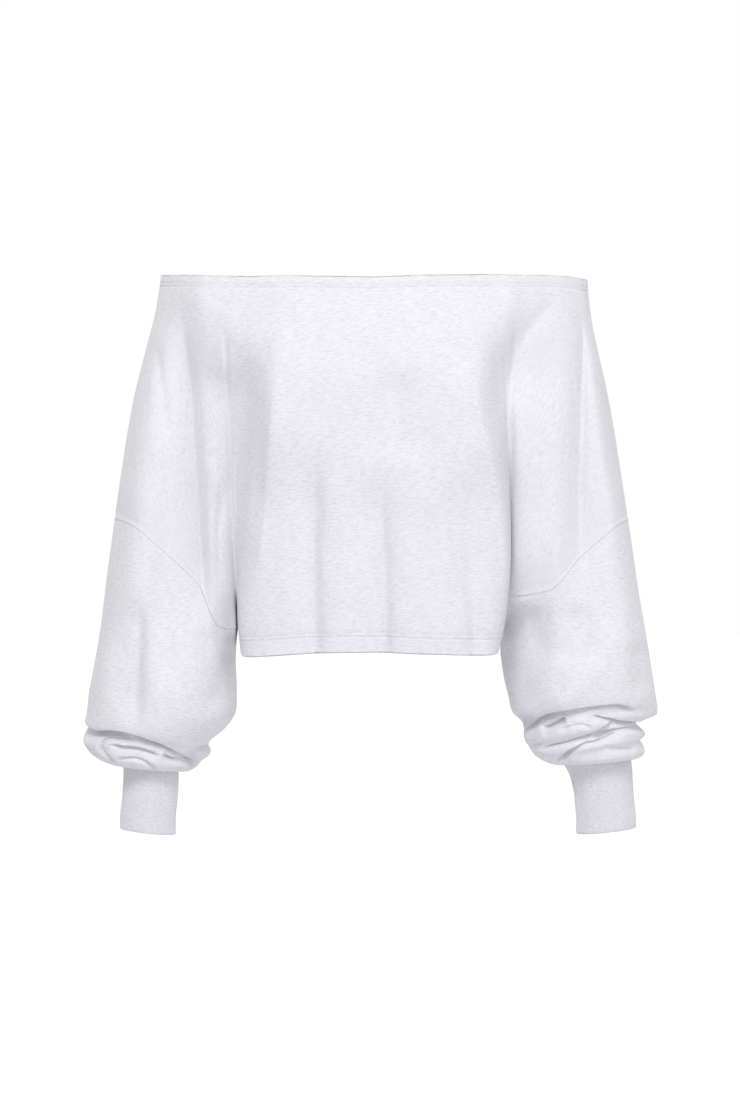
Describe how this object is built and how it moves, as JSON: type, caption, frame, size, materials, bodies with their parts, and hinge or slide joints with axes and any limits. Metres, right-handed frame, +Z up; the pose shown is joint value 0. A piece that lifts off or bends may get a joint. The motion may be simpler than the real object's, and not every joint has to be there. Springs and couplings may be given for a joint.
{
  "type": "off-shoulder sweatshirt top",
  "caption": "Cropped sweatshirt with a wide straight off-shoulder neckline, dropped armholes and balloon sleeves stacked above long rib cuffs, in its hollow worn form.",
  "frame": {"origin": "middle of the neckline ring, at the height where it grips the wearer's upper arms", "axes": "+Z up towards the neckline, -Y towards the front of the garment, +X towards the wearer's left"},
  "size_m": [0.5735, 0.2232, 0.5617],
  "materials": {
    "jersey": "matt white heather loopback jersey with fine pale grey flecks",
    "rib": "matt white heather one-by-one rib knit, a shade greyer than the jersey"
  },
  "bodies": {
    "root": {"front": "jersey", "back": "jersey", "left_sleeve": "jersey", "right_sleeve": "jersey", "left_cuff": "rib", "right_cuff": "rib"}
  },
  "joints": []
}
